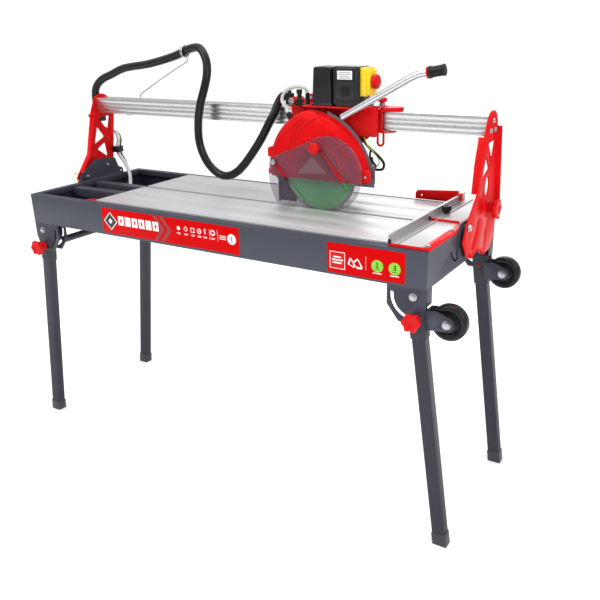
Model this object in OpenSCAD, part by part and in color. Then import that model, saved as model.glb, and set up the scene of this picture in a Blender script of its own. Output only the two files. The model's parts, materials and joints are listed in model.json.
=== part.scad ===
// Wet tile saw: a folding steel frame with a water basin, a ribbed aluminium table, and a saw head
// that slides on an overhead rail. Millimetres. X runs along the table, front is -Y, up is +Z.

/* [Water basin] */
// Outside length of the basin
basin_l = 1500; // [1480:10:1520]
// Outside width of the basin
basin_w = 530; // [520:5:540]
// Underside of the basin above the floor
basin_z = 779; // [775:1:783]
// Top of the basin rim above the floor
rim_z = 880; // [876:1:882]
// Thickness of the folded sheet
sheet = 3; // [2:0.5:4]
// Width of the rim flange
flange_w = 24; // [18:1:26]

/* [Cutting table] */
// Top of the table above the floor
table_z = 885; // [884:1:888]
// Left end of the table
table_x0 = -450; // [-520:10:-400]
// Right end of the table
table_x1 = 725; // [700:5:726]
// Depth of each table half, front edge to rear edge
table_half = 225; // [215:1:226]
// Depth of the ribbed extrusion
table_t = 12; // [10:1:14]

/* [Saw head] */
// Blade diameter
blade_d = 250; // [200:5:254]
// Blade axis along the table
blade_x = 283; // [270:1:300]
// Blade axis above the floor
blade_z = 1002; // [1000:1:1010]
// Middle plane of the blade
blade_y = -5; // [-7:1:-3]
// Outside radius of the blade guard
guard_r = 180; // [176:1:181]
// Motor body radius
motor_r = 62; // [52:1:63]
// Rear end of the motor
motor_y1 = 188; // [160:2:200]

/* [Bridge] */
// Tilt axis, across the table
tilt_y = -24; // [-26:1:-22]
// Tilt axis above the floor
tilt_z = 887; // [886:1:890]
// Underside of the rail
rail_z0 = 1118; // [1112:1:1120]
// Height of the rail
rail_h = 54; // [48:1:54]
// Front face of the rail
rail_y0 = 98; // [97:1:98]
// Depth of the rail
rail_d = 62; // [56:1:62]

/* [Legs and wheels] */
// Leg pivot, out from the middle
pivot_x = 713; // [700:1:715]
// Leg pivot above the floor
pivot_z = 755; // [752:1:756]
// Outward lean of a standing leg
splay = 7.9; // [5:0.1:9]
// Width of a leg tube seen from the front
leg_w = 38; // [34:1:40]
// Wheel diameter
wheel_d = 100; // [80:2:102]
// Radius of the locking slot round the leg pivot
slot_r = 61; // [58:1:63]

/* [Hidden] */
$fn = 48;
half_l = basin_l / 2;
half_w = basin_w / 2;
flange_t = 4;
lip_h = 18;
rib_t = 4;
slot_front = -15;
slot_rear = 4;
plate_t = 4;
bolt_r = 5;
run = 0.05;
left_plane = -768;
right_plane = 763;
leg_y0 = -260.5;
leg_d = 28;
bracket_y0 = -half_w;
knob_r = 27;
wheel_local = [80.1, -77.7];
wheel_y = 228;
wheel_w = 32;
axle_r = 6;
cap_t = 2;
foot_half = leg_w / 2 + cap_t;
foot_out = pivot_x + foot_half * cos(splay) + (pivot_z + foot_half * sin(splay)) * tan(splay);
wheel_out = pivot_x + wheel_local[0] * cos(splay) - wheel_local[1] * sin(splay) + wheel_d / 2;
x_mid = (wheel_out - foot_out) / 2;
plunge_x = 150;
plunge_z = 1196;
arm_y0 = 60;
arm_y1 = 66;
carriage_top = 1177;
lens_y0 = -37;
lens_y1 = -34;
guard_z = 1004;
guard_trim = [230, 960];
guard_trim_r = 219;
guard_y0 = -33;
guard_y1 = 12;
guard_cut = 978;
shield_knob = [291, 1076];
shield_bolt = [134, 1022];
slot_run = [101, -111];
depth_x = 443;
depth_y = 89;
knob_tilt = [144, 908];
nozzle_in = [187, -6, 1147];
nozzle_out = [173, -6, 1167];
estop_z = 1260;
estop_y = 50;
hose_r = 14;
tube_r = 7;
cable_r = 3.5;

red = [0.86, 0.06, 0.06];
slate = [0.29, 0.31, 0.36];
alu = [0.78, 0.79, 0.8];
dark = [0.12, 0.12, 0.13];
steel = [0.85, 0.86, 0.88];

// ---- drawing helpers ----
module span(a, b) { translate(a) cube(b - a); }
module xrod(x0, x1, y, z, r) { translate([x0, y, z]) rotate([0, 90, 0]) cylinder(r = r, h = x1 - x0); }
module yrod(y0, y1, x, z, r) { translate([x, y0, z]) rotate([-90, 0, 0]) cylinder(r = r, h = y1 - y0); }
module zrod(z0, z1, x, y, r) { translate([x, y, z0]) cylinder(r = r, h = z1 - z0); }
// a drawing in (x, z), given depth along Y
module yplate(y0, y1) { translate([0, y1, 0]) rotate([90, 0, 0]) linear_extrude(y1 - y0) children(); }
// a drawing in (y, z), given depth along X
module xplate(x0, x1) { translate([x0, 0, 0]) rotate([90, 0, 90]) linear_extrude(x1 - x0) children(); }
module zplate(z0, z1) { translate([0, 0, z0]) linear_extrude(z1 - z0) children(); }
// a straight bar between two points
module bar(a, b, r) {
  d = b - a;
  translate(a) rotate([0, acos(d[2] / norm(d)), atan2(d[1], d[0])]) cylinder(r = r, h = norm(d));
}
module front_and_rear() {
  children();
  mirror([0, 1, 0]) children();
}
module left_and_right() {
  children();
  mirror([1, 0, 0]) children();
}
module both_ways() { left_and_right() front_and_rear() children(); }
// polygon points with each corner replaced by a short three-point round
function corner(a, b, c, r) = let (u = (a - b) / norm(a - b), v = (c - b) / norm(c - b))
  [b + u * r, b + (u + v) * r * 0.29, b + v * r];
function rounded(p, r) = [for (i = [0:len(p) - 1])
  each corner(p[(i + len(p) - 1) % len(p)], p[i], p[(i + 1) % len(p)], r)];
// a knob head with lobes, standing on z = 0
module lobed_head(r, h, lobes) {
  lobe = r * 0.3;
  union() {
    cylinder(r = r * 0.76, h = h);
    for (i = [0:lobes - 1]) rotate([0, 0, i * 360 / lobes]) translate([r - lobe, 0, 0])
      cylinder(r = lobe, h = h);
  }
}
// a hexagon bolt head with its washer, standing on z = 0
module bolt_head(r, h) {
  cylinder(r = r * 1.25, h = h * 0.3);
  cylinder(r = r, h = h, $fn = 6);
}

// ---- basin and frame ----
module ring(l, w, z0, z1, t) {
  difference() {
    span([-l / 2, -w / 2, z0], [l / 2, w / 2, z1]);
    span([-l / 2 + t, -w / 2 + t, z0 - 1], [l / 2 - t, w / 2 - t, z1 + 1]);
  }
}
module basin() {
  lip_out = flange_w - sheet;
  color(slate) difference() {
    union() {
      ring(basin_l, basin_w, basin_z, rim_z, sheet);
      span([-half_l, -half_w, basin_z], [half_l, half_w, basin_z + sheet]);
      ring(basin_l, basin_w, rim_z - flange_t, rim_z, flange_w);
      ring(basin_l - 2 * lip_out, basin_w - 2 * lip_out, rim_z - lip_h, rim_z, sheet);
    }
    ring(basin_l - 18, basin_w - 18, rim_z - 1.5, rim_z + 1, 3.5);
    // hairline seams of the folded sheet: round the floor and up each corner
    ring(basin_l - 2 * sheet - 1, basin_w - 2 * sheet - 1, basin_z - 1, basin_z + sheet + 1, 0.05);
    both_ways() translate([half_l, half_w, (basin_z + rim_z) / 2]) rotate([0, 0, 45])
      cube([90, 0.05, 200], center = true);
    translate([half_l - sheet - 1, tilt_y, tilt_z]) rotate([0, 90, 0]) rotate([0, 0, -60])
      rotate_extrude(angle = 35) translate([92, 0]) square([6, sheet + 2]);
  }
}
module table_half(y0, grooves) {
  difference() {
    union() {
      span([table_x0, y0, table_z - rib_t], [table_x1, y0 + table_half, table_z]);
      for (i = [0:8]) span([table_x0, y0 + i * (table_half - 3) / 8, table_z - table_t],
        [table_x1, y0 + i * (table_half - 3) / 8 + 3, table_z - rib_t]);
    }
    for (g = grooves) span([table_x0 - 1, y0 + g, table_z - 1.6], [table_x1 + 1, y0 + g + 3, table_z + 1]);
  }
}
module table_front() color(alu) table_half(slot_front - table_half, [10, 24, 108, 122, 200, 212]);
module table_rear() color(alu) table_half(slot_rear, [10, 22, 100, 114, 198, 212]);
module support_beams() {
  beam_h = 30;
  beam_z1 = table_z - table_t;
  color(slate) for (y = [-95, 10]) difference() {
    span([-half_l + sheet, y, beam_z1 - beam_h], [half_l - sheet, y + 35, beam_z1]);
    span([-half_l, y + 2.5, beam_z1 - beam_h + 2.5], [half_l, y + 32.5, beam_z1 - 2.5]);
    // notch under the rim's folded lip
    left_and_right() span([725, y - 1, rim_z - lip_h - 1], [730, y + 36, beam_z1 + 1]);
  }
}
// side view of a leg bracket on the right, drawn in (x, z)
module bracket_face() {
  pts = [[637, basin_z], [637, 725], [672, 680], [733, 680], [half_l, 732], [half_l, basin_z]];
  difference() {
    polygon(pts);
    translate([pivot_x, pivot_z]) arc_slot(slot_r, -182, -90 + splay, 5);
  }
}
module arc_slot(r, a0, a1, w) {
  steps = 24;
  dirs = [for (i = [0:steps]) let (a = a0 + (a1 - a0) * i / steps) [cos(a), sin(a)]];
  pts_out = (r + w) * dirs;
  pts_in = [for (i = [steps:-1:0]) (r - w) * dirs[i]];
  polygon(concat(pts_out, pts_in));
  for (a = [a0, a1]) translate([r * cos(a), r * sin(a)]) circle(r = w);
}
module leg_brackets() {
  inner_y = bracket_y0 + 34;
  tie_y = inner_y + sheet;
  color(slate) {
    both_ways() {
      yplate(bracket_y0, bracket_y0 + sheet) bracket_face();
      span([half_l - sheet, bracket_y0, 732], [half_l, tie_y, basin_z]);
    }
    // the left pair has full inner cheeks and a tie tube; the right pair leaves room for the wheels
    mirror([1, 0, 0]) front_and_rear() yplate(inner_y, tie_y) bracket_face();
    front_and_rear() yplate(inner_y, tie_y) {
      translate([pivot_x, pivot_z]) circle(r = 20);
      translate([pivot_x - 20, pivot_z]) square([half_l - pivot_x + 20, basin_z - pivot_z]);
    }
    mirror([1, 0, 0]) difference() {
      yrod(tie_y, -tie_y, 659, 717, 12);
      yrod(tie_y - 1, -tie_y + 1, 659, 717, 9.5);
    }
  }
}
module tilt_brackets() {
  left = [[-44, rim_z], [-44, 897], [-34, 908], [37, 952], [99, 950], [139, 945], [152, 908], [174, 900],
    [174, rim_z]];
  right = [[-60, 800], [-60, 896], [-44, 904], [0, 904], [30, 892], [110, 892], [170, 905], [225, 905],
    [236, 880], [236, 800]];
  color(slate) {
    difference() {
      xplate(-746, -742) polygon(rounded(left, 6));
      xrod(-750, -738, 164, 891, 4);
    }
    span([-746, -44, rim_z], [-727, 174, rim_z + sheet]);
    xrod(-763.5, -746, tilt_y, tilt_z, 6.8);
    xplate(half_l, half_l + plate_t) polygon(rounded(right, 6));
    xrod(half_l + plate_t, 762.5, tilt_y, tilt_z, 11);
  }
}
module frame_bolts() {
  color(steel) {
    // leg pivots
    both_ways() {
      yrod(bracket_y0, bracket_y0 + 40, pivot_x, pivot_z, bolt_r);
      translate([pivot_x, bracket_y0, pivot_z]) rotate([90, 0, 0]) bolt_head(9, 7);
    }
    // tilt pivots
    xrod(-772, -742, tilt_y, tilt_z, bolt_r);
    translate([-768.4, tilt_y, tilt_z]) rotate([0, -90, 0]) bolt_head(9, 7);
    xrod(half_l, 771, tilt_y, tilt_z, bolt_r);
    translate([767.4, tilt_y, tilt_z]) rotate([0, 90, 0]) bolt_head(9, 7);
    // bolts on the left bracket
    for (p = [[96, 923], [-8, 895]]) translate([-742, p[0], p[1]]) rotate([0, 90, 0]) bolt_head(6, 5);
    // fence bolts
    for (y = [-245, -72, 238]) translate([739, y, rim_z + 9]) bolt_head(6, 5);
  }
}
module pump() {
  cage_r = 42;
  lobe_r = 8;
  color([0.45, 0.05, 0.09]) translate([-590, -140, 0]) {
    zrod(782, 824, 0, 0, cage_r);
    for (i = [0:11]) rotate([0, 0, i * 30]) translate([cage_r, 0, 782]) cylinder(r = lobe_r, h = 50);
    zrod(824, 840, 0, 0, cage_r - 4);
    zrod(840, 848, 0, 0, 26);
    for (i = [0:11]) rotate([0, 0, i * 30]) translate([cage_r - 9, 0, 832]) cylinder(r = 6, h = 10);
    yrod(35, 62, 8, 800, tube_r + 2);
  }
}
module fence_profile(y0, y1) {
  span([634, y0, table_z], [728, y1, table_z + sheet]);
  span([634, y0, table_z], [637, y1, 912]);
  span([634, y0, 909], [641, y1, 912]);
  span([662, y0, table_z], [665, y1, 892]);
}
module fence_front() color(alu) fence_profile(-255, 5);
module fence_rear() color(alu) difference() {
  fence_profile(10, 300);
  zrod(880, 900, 658, 87, 3.05);
}
module fence_strip() {
  color(red) {
    span([728, -255, rim_z], [half_l, 252, rim_z + 9]);
    span([634, -258, rim_z], [half_l, -255, rim_z + 9]);
    span([637, 7, table_z + 0.4], [728, 10, 894]);
  }
}
module front_labels() {
  color(red) {
    span([-404, -half_w - 0.6, 787], [158, -half_w, 870]);
    span([456, -half_w - 0.6, 785], [688, -half_w, 870]);
  }
}
// stop that runs along the rear fence
module side_stop() {
  gap = 0.5;
  color(red) {
    difference() {
      yplate(246, 250) polygon([[489, 886], [489, 906], [496, 914], [633.5, 924], [633.5, 886]]);
      yrod(240, 256, 510, 899, 3);
    }
    span([628, 236, 912 + gap], [646, 256, 916]);
    span([641 + gap, 236, 893], [646, 256, 916]);
    span([628, 236, 886], [633.5, 256, 916]);
  }
}
module stop_knob() {
  color(dark) {
    zrod(table_z + 0.3, 894, 658, 87, 3);
    zrod(892.4, 897, 658, 87, 10);
    translate([658, 87, 896]) lobed_head(15, 18, 6);
  }
}

// ---- legs, drawn hanging straight down from the pivot at the origin, on the right ----
module lean() translate([pivot_x, 0, pivot_z]) rotate([0, -splay, 0]) children();
function leg_drop() = pivot_z / cos(splay);
module leg() {
  knob_at = -slot_r;
  difference() {
    union() {
      span([-leg_w / 2, leg_y0, -leg_drop() + 12], [leg_w / 2, leg_y0 + leg_d, 10]);
      span([-22.4, leg_y0 - 0.5, -118], [22.4, leg_y0 + leg_d + 0.5, -25]);
    }
    span([-leg_w / 2 + 2.5, leg_y0 + 2.5, -leg_drop() - 40], [leg_w / 2 - 2.5, leg_y0 + leg_d - 2.5, -130]);
    yrod(leg_y0 - 5, leg_y0 + leg_d + 5, 0, 0, bolt_r + run);
    yrod(leg_y0 - 5, leg_y0 + leg_d + 5, 0, knob_at, 4 + run);
  }
}
module foot() {
  difference() {
    span([-foot_half, leg_y0 - cap_t, -leg_drop() - 10],
      [foot_half, leg_y0 + leg_d + cap_t, -leg_drop() + 40]);
    span([-leg_w / 2, leg_y0, -leg_drop() + 12], [leg_w / 2, leg_y0 + leg_d, -leg_drop() + 60]);
    rotate([0, splay, 0]) span([-200, -400, -pivot_z - 80], [200, 0, -pivot_z]);
  }
}
// a leg with its rubber foot, at the right front
module standing_leg() {
  color(slate) lean() leg();
  color(dark) lean() foot();
}
module leg_rf() standing_leg();
module leg_rr() mirror([0, 1, 0]) standing_leg();
module leg_lf() mirror([1, 0, 0]) standing_leg();
module leg_lr() mirror([1, 0, 0]) mirror([0, 1, 0]) standing_leg();
module leg_knob() {
  color(red) lean() translate([0, 0, -slot_r]) {
    yrod(-half_w - 19, -half_w - 0.4, 0, 0, 14);
    translate([0, -half_w - 18, 0]) rotate([90, 0, 0]) lobed_head(knob_r, 22, 6);
    yrod(-half_w - 2, leg_y0 + leg_d + 2, 0, 0, 4);
  }
}
module leg_knob_rf() leg_knob();
module leg_knob_rr() mirror([0, 1, 0]) leg_knob();
module leg_knob_lf() mirror([1, 0, 0]) leg_knob();
module leg_knob_lr() mirror([1, 0, 0]) mirror([0, 1, 0]) leg_knob();
module fork_side() {
  difference() {
    union() {
      polygon([[22.4, -95], [22.4, -42], [52, -42], [72, -50], [97, -66], [98, -89], [84, -97]]);
      translate(wheel_local) circle(r = 20);
    }
  }
}
module fork_front() {
  out = 24;
  lean() {
    color(slate) difference() {
      union() {
        yplate(-wheel_y - out, -wheel_y - out + plate_t) fork_side();
        yplate(-wheel_y + out - plate_t, -wheel_y + out) fork_side();
        span([22.4, -wheel_y - out, -95], [26.5, -wheel_y + out, -42]);
      }
      translate([wheel_local[0], 0, wheel_local[1]]) yrod(-300, -100, 0, 0, axle_r);
    }
    color(steel) translate([wheel_local[0], 0, wheel_local[1]]) {
      yrod(-wheel_y - out, -wheel_y + out, 0, 0, axle_r);
      translate([0, -wheel_y - out, 0]) rotate([90, 0, 0]) bolt_head(9, 7);
      translate([0, -wheel_y + out, 0]) rotate([-90, 0, 0]) bolt_head(9, 6);
    }
  }
}
module fork_rear() mirror([0, 1, 0]) fork_front();
module front_wheel() {
  r = wheel_d / 2;
  h = wheel_w / 2;
  profile = [[axle_r + run, -18], [15, -18], [15, -6], [28, -6], [33, -13], [r - 8, -h], [r - 2, -h + 4],
    [r, -h + 9], [r, h - 9], [r - 2, h - 4], [r - 8, h], [33, 13], [28, 6], [15, 6],
    [15, 18], [axle_r + run, 18]];
  color(dark) lean() translate([wheel_local[0], -wheel_y, wheel_local[1]]) rotate([90, 0, 0])
    rotate_extrude($fn = 64) polygon(profile);
}
module rear_wheel() mirror([0, 1, 0]) front_wheel();

// ---- bridge: two pillars and the rail ----
// upper part of a pillar in (y, z), the same at both ends
win_a = [[100, 1099], [157, 1103], [139, 1046]];
win_b = [[88, 1068], [66, 1004], [119, 1026]];
win_c = [[118, 1006], [76, 984], [124, 950]];
module pillar_cuts() {
  polygon(rounded(win_a, 7));
  polygon(rounded(win_b, 7));
}
module left_face() {
  body = [[-38, 895], [24, 973], [66, 1120], [80, 1150], [172, 1150], [181, 1106], [152, 938], [60, 886],
    [-24, 871]];
  difference() {
    union() {
      polygon(body);
      translate([126, 1140]) circle(r = 46);
      translate([tilt_y, tilt_z]) circle(r = 16);
    }
    pillar_cuts();
    polygon(rounded(win_c, 7));
    translate([tilt_y, tilt_z]) circle(r = bolt_r + run);
  }
}
// a strip of even width on the left of a path, with mitred corners
function left_of(a, b) = let (d = (b - a) / norm(b - a)) [-d[1], d[0]];
function mitre(p, i) = let (n = len(p), u = left_of(p[max(i - 1, 0)], p[max(i, 1)]),
  v = left_of(p[min(i, n - 2)], p[min(i + 1, n - 1)])) (u + v) / (1 + u * v);
module edge_strip(p, t) polygon(concat(p, [for (i = [len(p) - 1:-1:0]) p[i] + mitre(p, i) * t]));
module left_pillar() {
  color(red) {
    xplate(left_plane, left_plane + plate_t) left_face();
    xplate(left_plane, -748) edge_strip([[66, 1120], [24, 973], [-25, 912]], 4);
    xplate(left_plane - 14, left_plane + plate_t) edge_strip([[152, 938], [181, 1106]], 4);
    yrod(50, 68, left_plane + 12, 1112, 6);
  }
}
module right_face() {
  body = [[-62, 851], [-38, 895], [34, 968], [46, 1049], [68, 1120], [80, 1150], [170, 1150], [178, 1080],
    [196, 934], [206, 860], [208, 812], [178, 778], [126, 770], [92, 782], [70, 804],
    [46, 794], [12, 788], [-22, 800]];
  win_d = [[106, 1006], [94, 984], [96, 960], [112, 946], [126, 962], [128, 984], [120, 1002]];
  difference() {
    union() {
      polygon(body);
      translate([126, 1140]) circle(r = 46);
      translate([tilt_y, tilt_z]) circle(r = 16);
    }
    pillar_cuts();
    polygon(rounded(win_d, 3));
    translate([tilt_y, tilt_z]) circle(r = bolt_r + run);
    translate(knob_tilt) circle(r = bolt_r + run);
  }
}
module right_pillar() {
  groove_d = 1.6;
  color(red) {
    difference() {
      xplate(right_plane, right_plane + plate_t) right_face();
      xplate(right_plane + plate_t - groove_d, right_plane + plate_t + 1) {
        polygon(rounded([[-4, 818], [34, 872], [60, 900], [52, 860], [22, 812]], 3));
        polygon(rounded([[112, 796], [114, 842], [128, 870], [132, 842], [128, 800]], 3));
      }
    }
    xplate(748, right_plane + plate_t) edge_strip([[68, 1120], [46, 1049], [34, 968]], 4);
    xplate(right_plane, right_plane + 18) edge_strip([[206, 862], [196, 934], [178, 1080], [171, 1140]], 4);
  }
}
module rail() {
  z1 = rail_z0 + rail_h;
  y1 = rail_y0 + rail_d;
  wall = 3;
  color(alu) xplate(left_plane + plate_t, right_plane) difference() {
    translate([rail_y0, rail_z0]) square([rail_d, rail_h]);
    translate([rail_y0 + wall + 3, rail_z0 + wall]) square([rail_d - 2 * wall - 6, 22]);
    translate([rail_y0 + wall + 3, rail_z0 + wall + 25])
      square([rail_d - 2 * wall - 6, rail_h - 2 * wall - 25]);
    for (z = [8, 24]) translate([rail_y0 - 1, rail_z0 + z]) square([3, 2.4]);
    translate([rail_y0 - 1, rail_z0 + 36]) square([2.2, 3]);
    for (z = [8, 24, 36]) translate([y1 - 1.6, rail_z0 + z]) square([3, 2.4]);
  }
}
module rail_bolts() {
  color(steel) {
    for (p = [[110, 1132], [148, 1132], [129, 1158]]) {
      translate([left_plane, p[0], p[1]]) rotate([0, -90, 0]) bolt_head(6, 5);
      translate([right_plane + plate_t, p[0], p[1]]) rotate([0, 90, 0]) bolt_head(6, 5);
    }
  }
}
holder_route = [[-620, 187, 1130], [-620, 187, 1160], [-619, 187, 1174], [-611, 187, 1185],
  [-560, 187, 1211.7], [-503, 187, 1241], [-484, 184, 1248.6], [-400, 157.5, 1279.8], [-334, 137, 1303],
  [-325, 131, 1311]];
function coil_point(k) = [-322 + 5 * k / 24, 110 + 18.5 * sin(15 * k + 143), 1338 + 18.5 * cos(15 * k + 143)];
module hose_holder() {
  wire = 2;
  color(steel) {
    span([-632, 120, 1112], [-608, 191, rail_z0]);
    span([-632, 183, 1112], [-608, 191, 1150]);
    tube(smooth(concat(holder_route, [for (k = [0:50]) coil_point(k)]), 2), wire, 8, [1, 0.02, 0.03]);
  }
}
module hose_clips() {
  color(dark) {
    difference() {
      union() {
        span([-808, 102, 1084], [left_plane, 142, 1108]);
        zrod(1108, 1122, -790, 122, hose_r + 3);
      }
      zrod(1080, 1130, -790, 122, hose_r - 2);
    }
    // clip for the pump's tube and cable, at the pillar's rear edge
    difference() {
      span([-764, 150, 962], [-738, 184, 984]);
      zrod(950, 1000, -748, 165, tube_r + 1.2);
      zrod(950, 1000, -748, 178.6, cable_r + 0.8);
    }
  }
}
module tilt_knob() {
  color(red) translate([0, knob_tilt[0], knob_tilt[1]]) {
    xrod(757, 790, 0, 0, bolt_r);
    xrod(right_plane + plate_t + 0.4, 780, 0, 0, 15);
    translate([779, 0, 0]) rotate([0, 90, 0]) lobed_head(29, 18, 6);
  }
}

// ---- carriage ----
module carriage() {
  t = 4;
  z1 = carriage_top + t;
  color(red) {
    zplate(carriage_top, z1) polygon([[120, 76], [444, 76], [496, 125], [462, 178], [120, 178]]);
    translate([444, 76, 1172.6]) rotate([0, 0, atan2(49, 52)]) span([0, 0, 0], [71.4, 4, 11.4]);
    yplate(80, 86) polygon([[130, z1], [446, z1], [446, 1120], [458, 1112], [420, 1112], [408, 1122],
      [130, 1122]]);
    zplate(1112, 1115) polygon([[420, 80], [458, 80], [478, 100], [478, 118], [420, 118]]);
    yplate(172, 178) polygon([[130, z1], [446, z1], [446, 1122], [130, 1122]]);
    difference() {
      for (y = [[100, 106], [166, 172]]) yplate(y[0], y[1]) {
        translate([plunge_x, plunge_z]) circle(r = 13);
        translate([plunge_x - 20, z1]) square([40, 10]);
      }
      yrod(90, 180, plunge_x, plunge_z, 7);
    }
    // hanging loop of bent rod at the right end
    for (x = [432, 451]) zrod(1084, 1118, x, 83, 3.4);
    translate([441.5, 83, 1084]) rotate([90, 0, 0]) rotate([0, 0, 180])
      rotate_extrude(angle = 180) translate([9.5, 0]) circle(r = 3.4, $fn = 16);
  }
}
module pivot_pin() {
  color(steel) {
    yrod(50, 174, plunge_x, plunge_z, 7);
    translate([plunge_x, 52, plunge_z]) rotate([90, 0, 0]) cylinder(r = 10, h = 5);
    translate([plunge_x, 172, plunge_z]) rotate([-90, 0, 0]) cylinder(r = 10, h = 5);
  }
}
module slide_pads() {
  gap = 0.3;
  color(dark) {
    for (x = [134, 402]) {
      span([x, 86, 1124], [x + 40, rail_y0 - gap, 1150]);
      span([x, rail_y0 + rail_d + gap, 1124], [x + 40, 172, 1150]);
      span([x, 100, rail_z0 + rail_h + gap], [x + 40, 156, carriage_top]);
    }
    difference() {
      span([104, 86, carriage_top + 4], [130, 98, 1216]);
      xrod(100, 135, 92, 1207, 5);
    }
    zrod(1216, 1224, 117, 92, 6);
  }
}

// ---- plunging arm ----
module arm_plate() {
  top = 1190;
  color(red) {
    difference() {
      union() {
        yplate(arm_y0, arm_y1) union() {
          polygon([[138, 1187], [138, 1204], [162, 1204], [180, top], [442, top], [442, 1122], [361, 1060],
            [361, blade_z], [205, blade_z], [205, 1150], [170, 1184]]);
          translate([blade_x, blade_z]) circle(r = 78);
        }
        yrod(54, 98, plunge_x, plunge_z, 12.5);
        span([215, 8, top - 4], [428, arm_y0, top]);
        span([215, arm_y1, top - 4], [428, 94, top]);
        span([424, arm_y0, top - 4], [456, 100, top]);
        span([327, arm_y0 - 14, 1104], [442, arm_y0, top - 4]);
      }
      yrod(40, 120, plunge_x, plunge_z, 7 + run);
      zrod(top - 10, top + 10, depth_x, depth_y, 4 + run);
      yrod(0, arm_y1 + 1, blade_x, blade_z, 30);
    }
  }
}
module motor() {
  color(dark) {
    difference() {
      union() {
        yrod(arm_y1, motor_y1 - 34, blade_x, blade_z, motor_r);
        yrod(motor_y1 - 34, motor_y1, blade_x, blade_z, motor_r - 2);
        yrod(guard_y1 + 5, arm_y1, blade_x, blade_z, 29.6);
      }
      yrod(guard_y1 + 4, arm_y1, blade_x, blade_z, 8 + run);
      for (a = [0:45:315]) yrod(motor_y1 - 6, motor_y1 + 1, blade_x + 38 * cos(a), blade_z + 38 * sin(a), 8);
      yrod(motor_y1 - 6, motor_y1 + 1, blade_x, blade_z, 16);
    }
    span([blade_x + 52, 92, 968], [blade_x + 100, 152, 1026]);
    span([blade_x - 40, 80, 932], [blade_x + 40, 148, 946]);
  }
}
module disc(r) translate([blade_x, guard_z]) circle(r = r, $fn = 96);
module trim_disc(r) translate(guard_trim) circle(r = r, $fn = 96);
module back_plate() {
  edge = 8;
  color(alu) {
    yplate(guard_y1, guard_y1 + 4) difference() {
      union() {
        intersection() {
          disc(guard_r);
          trim_disc(guard_trim_r);
        }
        intersection() {
          disc(guard_r + edge);
          trim_disc(guard_trim_r + edge);
          translate([300, 900]) square([300, 300]);
        }
        translate([441, 974]) square([18, 52]);
      }
      translate([blade_x - 300, 700]) square([600, 262]);
      translate([blade_x, blade_z]) circle(r = 32);
    }
  }
}
// a round dish in (radius, y): rolled edge of radius r, t inside the outer skin
module dish(r, t) rotate([-90, 0, 0]) rotate_extrude($fn = 96)
  polygon([[0, guard_y0 + t], [r - 57 - t / 3, guard_y0 + t], [r - 27 - t / 2, guard_y0 + 3 + t],
    [r - 13 - t * 0.6, guard_y0 + 9 + t * 0.9], [r - 4 - t, guard_y0 + 18 + t / 2],
    [r - t, guard_y0 + 30 + t / 3], [r - t, guard_y1 - t], [0, guard_y1 - t]]);
module guard_body(t) intersection() {
  translate([blade_x, 0, guard_z]) dish(guard_r, t);
  translate([guard_trim[0], 0, guard_trim[1]]) dish(guard_trim_r, t);
}
module guard() {
  color(red) difference() {
    union() {
      difference() {
        guard_body(0);
        guard_body(3);
        span([blade_x - 300, -100, 700], [blade_x + 300, 100, guard_cut]);
      }
      span([98, -14, 1034], [113, 10, 1062]);
      span([98, -14, 980], [109, 10, 994]);
      span([439, -28, 982], [457, -7, 1018]);
    }
    yrod(guard_y1 - 6, guard_y1 + 2, blade_x, blade_z, 32);
    yrod(guard_y0 - 2, guard_y0 + 6, shield_knob[0], shield_knob[1], 4 + run);
    yrod(guard_y0 - 2, guard_y0 + 6, shield_bolt[0], shield_bolt[1], 3);
  }
}
module splash_flap() {
  color([0.1, 0.11, 0.15]) {
    span([130, -10, 894], [133, guard_y1 - 3, 990]);
    span([130, guard_y1 - 7, 894], [186, guard_y1 - 3, 990]);
  }
}
handle_low = [373, -28, 1167];
handle_bend = [600, -28, 1288];
handle_joint = [636, -28, 1293.4];
handle_end = [680, -28, 1301];
module handle_tube() {
  r = 10;
  color(alu) {
    bar(handle_low, handle_bend, r);
    translate(handle_bend) sphere(r = r + 0.4);
    bar(handle_bend, handle_joint, r);
    yrod(handle_low[1], arm_y0 - 14, 380, 1170.7, 8);
  }
}
module handle_grip() {
  start = handle_joint;
  d = (handle_end - start) / norm(handle_end - start);
  color(dark) {
    bar(start, start + d * 8, 16.5);
    bar(start + d * 7.5, start + d * 47.5, 14.5);
    bar(start + d * 47, handle_end, 16);
  }
}
module capacitor_box() {
  color([0.17, 0.17, 0.19]) {
    yplate(12, 88) polygon([[252, 1196], [249, 1210], [254, 1296], [259, 1301], [305, 1301], [310, 1296],
      [313, 1196]]);
    span([246, 8, 1190], [316, 92, 1197]);
  }
}
module switch_box() {
  color([0.17, 0.17, 0.19]) {
    yplate(14, 88) polygon([[320, 1200], [320, 1298], [325, 1303], [399, 1303], [404, 1298], [404, 1190],
      [332, 1190]]);
    yplate(10, 14) polygon(rounded([[326, 1208], [326, 1298], [398, 1298], [398, 1208]], 6));
  }
}
module switch_housing() {
  color([0.98, 0.83, 0.05]) difference() {
    union() {
      span([404, 22, 1221], [423, 78, 1299]);
      span([423, 26, 1226], [432, 74, 1293]);
    }
    xrod(415, 435, estop_y, estop_z, 12 + run);
  }
}
module estop_button() {
  color(red) {
    xrod(421, 439, estop_y, estop_z, 12);
    xrod(435.5, 447, estop_y, estop_z, 20);
    xrod(447, 450, estop_y, estop_z, 16);
  }
}
module water_valve() {
  color(dark) {
    zrod(1190, 1204, 180, 49.5, 10);
    zrod(1204, 1228, 180, 49.5, 7);
    zrod(1220, 1232, 180, 49.5, 9);
    zrod(1190, 1222, 208, 52, 7);
    span([172, 40, 1184], [214, 60, 1190]);
    // nozzle where the water enters the guard
    bar(nozzle_in, nozzle_out, 9);
  }
}
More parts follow.
